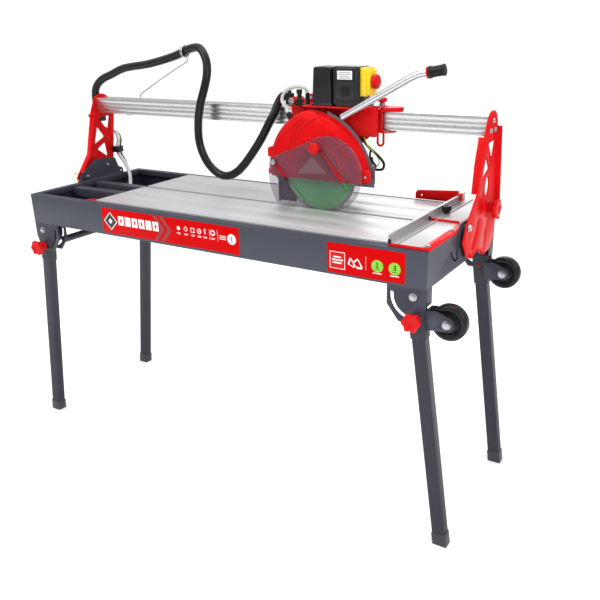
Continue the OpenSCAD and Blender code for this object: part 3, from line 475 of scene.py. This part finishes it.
def rim(degrees):
    """Radius of the cover's edge in one direction: a circle, cut back by a second one at the upper right."""
    ux, uz = math.cos(math.radians(degrees)), math.sin(math.radians(degrees))
    dx, dz = GUARD_C[0] - TRIM_C[0], GUARD_C[1] - TRIM_C[1]
    b = ux * dx + uz * dz
    return min(GUARD_R, -b + math.sqrt(b * b + TRIM_R * TRIM_R - dx * dx - dz * dz))


def polar(degrees, r):
    """A point at an angle and radius from the middle of the cover."""
    return (GUARD_C[0] + r * math.cos(math.radians(degrees)),
            GUARD_C[1] + r * math.sin(math.radians(degrees)))


BAND_OUT = [polar(a, rim(a) - 9) for a in (68, 60, 52, 44, 36, 28, 20, 12, 4, -2)]
BAND_IN = [polar(a, rim(a) * k) for a, k in ((0, 0.85), (8, 0.83), (18, 0.79), (26, 0.75), (38, 0.74),
                                             (49, 0.745), (58, 0.77), (63, 0.80), (67, 0.86))]
RIBS = [
    [(301, 1178), (281, 1163), (257, 1150), (236, 1133), (221, 1120), (208, 1098), (200, 1076), (198, 1050)],
    [(253, 1178), (226, 1156), (199, 1137), (176, 1119), (156, 1101), (144, 1086), (135, 1071), (128, 1050)]]


def dish_depth(r):
    """Depth of the plain dish at a radius."""
    for (r0, y0), (r1, y1) in zip(DISH, DISH[1:]):
        if r <= r1 or r1 == DISH[-1][0]:
            t = 0 if r1 == r0 else max(0.0, min(1.0, (r - r0) / (r1 - r0)))
            return y0 + (y1 - y0) * t if r1 > r0 else y0
    return DISH[-1][1]


def ease(t):
    """A smooth step from 0 to 1."""
    t = max(0.0, min(1.0, t))
    return t * t * (3 - 2 * t)


def to_path(p, path, closed=False):
    """Distance from a point to a path, and how far along the path it is nearest."""
    best, where, gone = 1e9, 0.0, 0.0
    pairs = list(zip(path, path[1:] + path[:1])) if closed else list(zip(path, path[1:]))
    for a, b in pairs:
        dx, dy = b[0] - a[0], b[1] - a[1]
        size = math.hypot(dx, dy)
        t = max(0.0, min(1.0, ((p[0] - a[0]) * dx + (p[1] - a[1]) * dy) / (size * size)))
        d = math.hypot(p[0] - a[0] - t * dx, p[1] - a[1] - t * dy)
        if d < best:
            best, where = d, gone + t * size
        gone += size
    return best, where


def inside(p, outline):
    """Whether a point lies in a closed outline."""
    hit = False
    for (x0, y0), (x1, y1) in zip(outline, outline[1:] + outline[:1]):
        if (y0 > p[1]) != (y1 > p[1]) and p[0] < (x1 - x0) * (p[1] - y0) / (y1 - y0) + x0:
            hit = not hit
    return hit


BAND = BAND_OUT + BAND_IN
MIDDLE = [polar(a, rim(a) * 0.85) for a in range(62, 0, -6)]


def guard_relief(x, z, r):
    """How far the band, its bumps, the ribs and the inner step stand out of the dish at a point."""
    lift = 0.0
    d, _ = to_path((x, z), BAND, closed=True)
    if inside((x, z), BAND):
        lift = max(lift, 2.6 * ease(d / 3.0))
        off, along = to_path((x, z), MIDDLE)
        if off < 12 and d > 4:
            lift += 0.7 * max(0.0, math.sin(along * 0.36)) * max(0.0, math.cos(off * 0.5))
    for rib in RIBS:
        d, _ = to_path((x, z), rib)
        if x < 330:
            lift = max(lift, 2.4 * ease(1 - d / 6.5))
    lift += 1.6 * ease(1 - abs(r - 100) / 5.0) * (1 if z > 1000 else 0)
    return lift


def guard_shell():
    """The outer skin of the cover: rings from its middle to its edge, then back to its rear."""
    bm = bmesh.new()
    sides = 240
    radii = [0, 30, 60, 80, 90] + [92 + 1.5 * i for i in range(56)] + [176.6, 177.8, 179, 179.7, GUARD_R]
    rows = []
    for r in radii:
        row = []
        for k in range(sides):
            a = 360 * k / sides
            x, z = polar(a, r * rim(a) / GUARD_R)
            y = dish_depth(r) - (guard_relief(x, z, r) if r < 176 and z > 970 else 0)
            row.append(bm.verts.new(at(x, y, z)))
            if r == 0:
                row = row * sides
                break
        rows.append(row)
    for y in (2, 7, REAR):
        edge = [polar(360 * k / sides, rim(360 * k / sides)) for k in range(sides)]
        rows.append([bm.verts.new(at(x, y, z)) for x, z in edge])
    for a, b in zip(rows, rows[1:]):
        for k in range(sides):
            corners = [a[k], a[(k + 1) % sides], b[(k + 1) % sides], b[k]]
            if a[k] is a[(k + 1) % sides]:
                corners = [a[k], b[(k + 1) % sides], b[k]]
            bm.faces.new(corners)
    bmesh.ops.bisect_plane(bm, geom=bm.verts[:] + bm.edges[:] + bm.faces[:], plane_co=at(0, 0, CUT_Z),
                           plane_no=(0, 0, -1), clear_outer=True)
    bmesh.ops.recalc_face_normals(bm, faces=bm.faces)
    mesh = bpy.data.meshes.new("guard_cover")
    bm.to_mesh(mesh)
    bm.free()
    return mesh


guard = piece("guard_cover", guard_shell(), "arm", "red_paint", None, ("guard",))
wall = guard.modifiers.new("thickness", "SOLIDIFY")
wall.thickness = 3 * MM
wall.offset = -1
settle(guard)
by_angle(guard.data, 42)


def arc(cx, cz, r, a0, a1, n):
    """Points round part of a circle."""
    return [(cx + r * math.cos(math.radians(a0 + (a1 - a0) * i / n)),
             cz + r * math.sin(math.radians(a0 + (a1 - a0) * i / n))) for i in range(n + 1)]


back_wall = [polar(a, rim(a) - 3) for a in range(-8, 189, 3)] + arc(283, 1002, 32, 228, -48, 36)
plate("guard_back", back_wall, REAR - 3, REAR, "arm", "red_paint", round_mm=0.5)
TABS = {"guard_tab_top": ([(97, 1034), (97, 1058), (104, 1064), (115, 1062), (115, 1034)], -15, 10),
        "guard_tab_low": ([(97, 980), (97, 995), (108, 995), (108, 980)], -15, 10),
        "guard_tab_right": ([(436, 982), (457, 984), (457, 1014), (450, 1020), (436, 1018)], -28, -7)}
for name, (outline, a, b) in TABS.items():
    plate(name, outline, a, b, "arm", "red_paint", round_mm=2.0, segments=3)
BUMP, BUMPS_AT = [(3.0, 0), (2.6, 0.9), (1.4, 1.5), (0.2, 1.7)], 0.865
for a in range(8, 62, 6):
    x, z = polar(a, rim(a) * BUMPS_AT)
    turned("band_bump_%d" % a, BUMP, facing(at(x, dish_depth(GUARD_R * BUMPS_AT) - 2.4, z), (0, -1, 0)),
           "arm", "red_paint", sides=16)
plate("guard_tab_block", [(99, 995), (99, 1034), (106, 1034), (106, 995)], -9, 9, "arm", "grey_tube",
      round_mm=1.5)
DARK_RED = surface("dark_red", (0.40, 0.010, 0.012), 0.40, vary=0.08, spec=0.3)
# dark red lines along the ribs and the band's inner edge: painted shade in the creases
CREASE_SHADE = surface("crease_shade_red", (0.24, 0.006, 0.008), 0.45, vary=0.08, spec=0.2)


def on_guard(x, z):
    """The point of the cover's face in front of a place."""
    reach = rim(math.degrees(math.atan2(z - GUARD_C[1], x - GUARD_C[0])))
    r = GUARD_R * math.hypot(x - GUARD_C[0], z - GUARD_C[1]) / reach
    return (x, dish_depth(r) - guard_relief(x, z, r), z)


def aside(path, off):
    """A path moved sideways in the plane of the cover."""
    out = []
    for i, (x, z) in enumerate(path):
        (x0, z0), (x1, z1) = path[max(i - 1, 0)], path[min(i + 1, len(path) - 1)]
        size = math.hypot(x1 - x0, z1 - z0)
        out.append((x + off * (z1 - z0) / size, z - off * (x1 - x0) / size))
    return out


# the dark lines along both sides of each rib and the band's inner edge are painted shade
crease_shades = [("band", BAND_IN, 1.0)]
for i, rib in enumerate(RIBS):
    crease_shades += [("rib_%d_a" % i, aside(rib, 7), 0.9), ("rib_%d_b" % i, aside(rib, -7), 0.7)]
for name, path, radius_mm in crease_shades:
    wire("guard_crease_shade_" + name, [on_guard(x, z) for x, z in path], radius_mm * MM, "arm", "red_paint", CREASE_SHADE,
         steps=5)
plate("guard_hub_ring", arc(*GUARD_C, 62, -24, 204, 46), FRONT - 0.4, FRONT, "arm", "red_paint", mat=DARK_RED,
      round_mm=0)
# the engraved triangle is drawn as a pale flat mark: a painted highlight standing for its relief
PALE_HIGHLIGHT = surface("triangle_highlight", (0.56, 0.22, 0.18), 0.40, vary=0.05)
plate("guard_triangle", [(271, 1048), (217, 993), (321, 1001)], FRONT - 0.8, FRONT - 0.4, "arm", "label_film",
      mat=PALE_HIGHLIGHT, round_mm=0)

# ---- clear shield; its cut edges are pale, a painted highlight ----
SHIELD_EDGE_HIGHLIGHT = surface("shield_edge_highlight", (0.78, 0.74, 0.76), 0.15, vary=0.05, coat=0.5)
lens = soften("shield", 0.0001)
lens.data.materials.append(SHIELD_EDGE_HIGHLIGHT)
bevelled(lens, 0.0012, 2, material=1)

# ---- printed films on the front of the basin: plain shapes only ----
WHITE = surface("white_print", (0.86, 0.86, 0.86), 0.35, vary=0.02)
GREEN = surface("green_print", (0.22, 0.62, 0.03), 0.35, vary=0.04)
BLACK = surface("black_print", (0.02, 0.025, 0.02), 0.40, vary=0.05)
FILM = surface("film_print", (0.66, 0.003, 0.004), 0.34, vary=0.02, spec=0.2)
FAINT = surface("faint_print", (0.22, 0.03, 0.035), 0.35, vary=0.05)
FILM_Y = -265.5
ICON_X = (-73, -44, -17, 9, 31, 61)


def oblong(x, z, w, h):
    return [(x - w / 2, z - h / 2), (x + w / 2, z - h / 2), (x + w / 2, z + h / 2), (x - w / 2, z + h / 2)]


def disc(x, z, r, n=40):
    return arc(x, z, r, 0, 360 - 360 / n, n - 1)


def diamond(x, z, r):
    return [(x - r, z), (x, z - r), (x + r, z), (x, z + r)]


def one(x, z, k):
    """The figure 1, k times 14 mm high."""
    return [oblong(x, z, 3 * k, 14 * k), oblong(x - 2 * k, z + 5.6 * k, 3 * k, 2.8 * k),
            oblong(x, z - 6 * k, 8 * k, 2 * k)]


def three(x, z, k):
    """The figure 3, k times 14 mm high."""
    bars = [oblong(x, z + v * k, 8 * k, 2.4 * k) for v in (-5.8, 0, 5.8)]
    return bars + [oblong(x + 3 * k, z, 2.6 * k, 14 * k)]


def printed(name, level, shapes, mat):
    """Flat shapes on the front face, level 1 on the film and higher levels over it."""
    top = FILM_Y - 0.1 - 0.12 * level
    joined(name, [prism(name, outline, top, FILM_Y) for outline in shapes], "base", "label_film", mat)


blocks = [oblong(-318 + 30 * i, 834, 24, 30) for i in range(6)]
lines = [oblong(x, 826, 16, 1.4) for x in ICON_X] + [oblong(x, 823, 12, 1.4) for x in ICON_X]
tool_icon = [[(520, 816), (527, 836), (531, 834), (525, 816)], [(527, 836), (531, 834), (546, 812), (541, 811)],
             [(520, 816), (525, 816), (541, 811), (540, 808)], [(534, 822), (550, 836), (553, 833), (536, 818)],
             [(550, 836), (553, 833), (566, 812), (561, 810)], [(546, 812), (566, 812), (563, 807), (548, 807)]]
rules = [oblong(49, 836, 1, 34), oblong(79, 836, 1, 34), oblong(575, 826, 0.8, 38), oblong(98, 838, 24, 2),
         oblong(98, 833, 26, 2), oblong(98, 828, 22, 2)]
icons = [diamond(-44, 842, 9), oblong(-17, 841, 15, 15), disc(9, 841, 8), disc(61, 843, 9),
         oblong(31, 843, 4, 15), disc(31, 848, 4, 16), disc(-73, 841, 7, 6), oblong(488.5, 822, 47, 48)]
chevrons = [[(x, 789), (x + 14, 789), (x + 46, 828), (x + 14, 868), (x, 868), (x + 32, 828)]
            for x in (-150, -178)]
printed("print_faint", 1, chevrons, FAINT)
printed("print_white", 2, [diamond(-366, 828, 30)] + blocks + lines + [disc(131, 832, 16)] + rules + icons
        + tool_icon, WHITE)
printed("print_film", 3, [diamond(-44, 842, 6.5), oblong(-17, 841, 11, 11), disc(9, 841, 5.5),
        disc(61, 843, 5.5), disc(31, 848, 2, 12), oblong(488.5, 822, 43.5, 44.5)]
        + [oblong(-318 + 30 * i, 834, 7, 12) for i in (0, 2, 3, 5)], FILM)
top_marks = [diamond(-366, 828, 9), oblong(488, 831, 24, 4), oblong(489, 823, 34, 4), oblong(488, 815, 28, 4),
             oblong(9, 841, 4, 4), oblong(609, 803, 26, 2.4), oblong(659, 803, 26, 2.4)]
printed("print_white_top", 4, top_marks, WHITE)
printed("print_green", 4, [disc(609, 823, 17), disc(659, 823, 17)], GREEN)
printed("print_badge", 3, [diamond(-366, 828, 26)], BLACK)
printed("print_black", 5, one(609, 825, 1.0) + three(659, 825, 1.0) + [oblong(609, 814, 14, 1.6),
        oblong(659, 814, 14, 1.6)] + one(131, 834, 0.8) + [oblong(131, 823.5, 14, 1.4)], BLACK)

# ---- handle: a bent tube with a ribbed grip ----
joint, end = (636, -28, 1293.4), (680, -28, 1301)
tube_run = [(373, -28, 1167), (430, -28, 1197.3), (500, -28, 1234.4), (560, -28, 1266.4), (584, -28, 1279),
            (604, -28, 1287.6), (620, -28, 1291), joint]
wire("handle_bar", tube_run, 10 * MM, "arm", "table_aluminium", POLISHED, replaces=("handle_tube",), steps=8,
     fine=8)
turned("handle_stub", [(6, 0), (8, 0.6), (8, 73), (6, 74)], facing(at(380, -28, 1170.7), (0, 1, 0)), "arm",
       "table_aluminium", POLISHED)
span = math.dist(joint, end)
ridges = []
for i in range(9):
    ridges += [(14.4, 8.6 + 3.6 * i), (14.4, 10.6 + 3.6 * i), (13.5, 11.2 + 3.6 * i), (13.5, 11.8 + 3.6 * i)]
collar = [(10.2, 0), (15.6, 0.6), (16.5, 2), (16.5, 6.6), (14.6, 8)]
tip = [(14.4, span - 4), (15.6, span - 3.2), (16, span - 2), (15.2, span - 0.4), (12, span)]
grip_place = facing(at(*joint), Vector(end) - Vector(joint))
turned("handle_grip_rubber", collar + ridges + tip, grip_place, "arm", "black_rubber",
       replaces=("handle_grip",), sides=48)
turned("handle_ring", [(10.1, -5), (15.2, -4.6), (15.8, -3.6), (15.8, -0.8), (15.2, 0)], grip_place, "arm",
       "red_plastic", sides=48)

# ---- wire arm that carries the hose ----
plate("holder_foot", [(-632, 120), (-608, 120), (-608, 191), (-632, 191)], 1112, 1118, "bridge", "zinc_steel",
      axis="z")
plate("holder_strap", [(-632, 1112), (-608, 1112), (-608, 1150), (-632, 1150)], 183, 191, "bridge",
      "zinc_steel", replaces=("hose_holder",))
rod = [(-620, 187, 1130), (-620, 187, 1160), (-619, 187, 1174), (-611, 187, 1185), (-560, 187, 1211.7),
       (-503, 187, 1241), (-484, 184, 1248.6), (-400, 157.5, 1279.8), (-334, 137, 1303), (-325, 131, 1311)]
for k in range(51):  # the coil round the hose
    a = math.radians(15 * k + 143)
    rod.append((-322 + 5 * k / 24, 110 + 18.5 * math.sin(a), 1338 + 18.5 * math.cos(a)))
wire("holder_rod", rod, 2 * MM, "bridge", "zinc_steel", steps=3)

# ---- small fittings ----
FLAP = surface("flap_rubber", (0.012, 0.018, 0.035), 0.38, vary=0.15, grain=1500, bump=0.3)
soften("splash_flap", 0.0006, mat=FLAP)
EARTH = surface("earth_wire", (0.62, 0.72, 0.04), 0.40, vary=0.25, blotch=120)
loops = (
    ("earth_loop", 1.6, "base", EARTH, [(-757, -8, 884), (-776, -12, 893), (-783, -24, 906), (-779, -40, 908),
                                        (-768, -46, 894), (-752, -44, 884)]),
    ("head_wire", 1.7, "arm", EARTH, [(404, 50, 1102), (412, 56, 1078), (432, 70, 1050), (440, 80, 1026),
                                      (424, 92, 1010), (400, 100, 1012)]),
    ("head_loop", 3.4, "arm", None, [(418, 66, 1062), (412, 72, 1044), (416, 79, 1028), (424, 88, 1010),
                                     (408, 96, 1000), (384, 104, 1004)]))
for name, radius_mm, body, mat, route in loops:
    wire(name, route, radius_mm * MM, body, "black_rubber", mat, steps=6)
for i, y in enumerate(range(74, 147, 8)):
    fin = closed_turn("motor_fin", [(60, 0), (63.4, 0), (63.4, 2.4), (60, 2.4)],
                      facing(at(283, y, 1002), (0, 1, 0)), 64)
    by_angle(fin, 40)
    piece("motor_fin_%d" % i, fin, "arm", "motor_paint")
plate("lever_plate", [(396, 62), (455, 62), (455, 80), (432, 80), (432, 98), (396, 98)], 1190, 1192.4, "arm",
      "zinc_steel", axis="z", round_mm=0.5)
turned("lever_bolt", [(0.5, 8), (5, 8), (6, 7), (6, 3), (8, 3), (8, 0)], facing(at(414, 78, 1192), (0, 0, 1)),
       "arm", "zinc_steel", sides=6)
for i in range(6):
    plate("box_rib_%d" % i, oblong(263 + 7.4 * i, 1252, 3, 74), 10.2, 12.4, "arm", "charcoal_plastic",
          round_mm=0.7)
plate("box_label", oblong(360.5, 1279, 49, 24), 9.4, 10.2, "arm", "label_film", mat=WHITE, round_mm=0.2)
label_rules = ((1286, 38), (1281, 42), (1276, 30), (1271, 36))
printed_lines = [prism("rule", oblong(360.5, z, w, 1.4), 9.2, 9.6) for z, w in label_rules]
joined("box_label_rules", printed_lines, "arm", "label_film", BLACK)
plate("box_panel_frame", oblong(362, 1236, 58, 44), 8.6, 10.4, "arm", "charcoal_plastic", round_mm=1.2)
plate("box_rocker", oblong(362, 1236, 26, 30), 6.6, 9, "arm", "black_plastic", round_mm=1.6, segments=3)
soften("capacitor_box", 0.0028, 3)
soften("switch_box", 0.0024, 3)
for name, y0, y1 in (("fence_cap_front", -258.5, -255), ("fence_cap_mid", 5.2, 6.6)):
    plate(name, oblong(639, 892, 9, 13), y0, y1, "base", "black_plastic", round_mm=0.6)
# a thin near-white strip along the fence's top edge: a painted highlight
FENCE_TOP_HIGHLIGHT = surface("fence_lip_highlight", (0.97, 0.97, 0.98), 0.55, vary=0.03, grain=900, bump=0.05)
for name, y0, y1 in (("fence_lip_highlight_front", -254, 4), ("fence_lip_highlight_rear", 11, 299)):
    plate(name, [(y0, 889), (y1, 889), (y1, 911.8), (y0, 911.8)], 633.5, 633.95, "base", "table_aluminium",
          axis="x", round_mm=0, mat=FENCE_TOP_HIGHLIGHT)

# ---- raised rims round the two slots of the lens, near black as painted shade at the slot edges ----
SLOT_RIM_SHADE = surface("slot_rim_shade", (0.03, 0.02, 0.03), 0.2, vary=0.05)
SLOT_DX, SLOT_DZ, SLOT_RIM_R, RIM_Y = 101, -111, 8, -37.2
turn = math.degrees(math.atan2(SLOT_DZ, SLOT_DX))
for i, (x, z) in enumerate(((134, 1022), (291, 1076))):
    loop = arc(x, z, SLOT_RIM_R, turn + 90, turn + 270, 8)
    loop += arc(x + SLOT_DX, z + SLOT_DZ, SLOT_RIM_R, turn - 90, turn + 90, 8)
    loop = [(x, RIM_Y, z) for x, z in loop]
    wire("slot_rim_%d" % i, loop + loop[:1], 0.8 * MM, "shield", "smoke_shield", SLOT_RIM_SHADE, steps=1)

# ---- bright bolt heads on the wheel forks ----
for leg, sy in (("leg_rf", -1), ("leg_rr", 1)):
    for side in (-1, 1):
        turned("axle_bolt_%s_%s" % (leg, "front" if side < 0 else "rear"),
               [(12.5, 0), (12.5, 1.4), (10.6, 1.5), (10.6, 6.8), (9.2, 7.4), (0.3, 7.4)],
               facing(at(AXLE_X, sy * WHEEL_Y + side * FORK_HALF, AXLE_Z), (0, side, 0)), leg, "zinc_steel",
               sides=24)

# ---- every other CAD node, with its edges rounded ----
EDGE_WIDTH = {"rail": 0.0008, "basin": 0.0005, "table_front": 0.0004, "table_rear": 0.0004,
              "fence_front": 0.0004, "fence_rear": 0.0004}
EXTRUDED = surface("extruded_aluminium", (0.50, 0.50, 0.51), 0.45, 0.55, vary=0.04, grain=900, bump=0.06)
DARK_STEEL = surface("dark_steel", (0.13, 0.14, 0.17), 0.34, 0.3, vary=0.1, grain=900, bump=0.1)
# the legs' paint is a darker copy of the frame paint, painted shade under the basin; its lighter edge colour is
# a painted highlight
LEG_SHADED_PAINT = surface("leg_paint_shaded", (0.033, 0.034, 0.047), 0.40, vary=0.07, grain=900, bump=0.18, spec=0.22,
                    edge_highlight=(0.09, 0.095, 0.11))
OWN = {"rail": BRIGHT, "fence_front": EXTRUDED, "fence_rear": EXTRUDED, "back_plate": DARK_STEEL,
       "leg_lf": LEG_SHADED_PAINT, "leg_lr": LEG_SHADED_PAINT, "leg_rf": LEG_SHADED_PAINT, "leg_rr": LEG_SHADED_PAINT}
for node in frame["nodes"]:
    if node not in DONE:
        soften(node, EDGE_WIDTH.get(node, 0.0009), mat=OWN.get(node))

# ---- floor and lights ----
floor_mat = surface("floor", (0.90, 0.90, 0.90), 0.7, vary=0.005, grain=40, bump=0.02, spec=0.1)
glow = floor_mat.node_tree.nodes["Principled BSDF"].inputs
glow["Emission Color"].default_value = (1, 1, 1, 1)
glow["Emission Strength"].default_value = 0.22
floor_mesh = bpy.data.meshes.new("floor")
floor_mesh.from_pydata([(-9, -9, 0), (9, -9, 0), (9, 9, 0), (-9, 9, 0)], [], [(0, 1, 2, 3)])
floor = bpy.data.objects.new("floor", floor_mesh)
floor_mesh.materials.append(floor_mat)
bpy.context.scene.collection.objects.link(floor)


def area_light(name, place, aim, size, power):
    data = bpy.data.lights.new(name, "AREA")
    data.shape = "DISK"
    data.size = size
    data.energy = power
    lamp = bpy.data.objects.new(name, data)
    lamp.location = place
    lamp.rotation_euler = (Vector(aim) - Vector(place)).to_track_quat("-Z", "Y").to_euler()
    bpy.context.scene.collection.objects.link(lamp)


area_light("key", (-1.6, -2.6, 3.6), (0, 0, 0.8), 2.2, 50)
area_light("fill", (3.4, -1.6, 2.4), (0, 0, 0.8), 2.0, 45)
area_light("top", (0, 0.4, 4.2), (0, 0, 0.8), 3.0, 45)
area_light("rear", (-0.5, 3.2, 2.2), (0, 0, 1.0), 2.0, 25)
bpy.context.scene.view_settings.view_transform = "Standard"
# the world is plain white to the camera, and lights the object more from above than from below
world = bpy.data.worlds.new("world")
world.use_nodes = True
backdrop = world.node_tree.nodes["Background"]
backdrop.inputs["Color"].default_value = (1, 1, 1, 1)
seen = put(world.node_tree, "ShaderNodeLightPath")
where = put(world.node_tree, "ShaderNodeTexCoord")
parts = put(world.node_tree, "ShaderNodeSeparateXYZ")
world.node_tree.links.new(where.outputs["Generated"], parts.inputs["Vector"])
mix = put(world.node_tree, "ShaderNodeMix", data_type="FLOAT")
world.node_tree.links.new(seen.outputs["Is Camera Ray"], mix.inputs[0])
world.node_tree.links.new(ranged(world.node_tree, parts.outputs["Z"], 0.34, 1.0, -0.05, 0.75), mix.inputs[2])
mix.inputs[3].default_value = 1.05
world.node_tree.links.new(mix.outputs[0], backdrop.inputs["Strength"])
bpy.context.scene.world = world
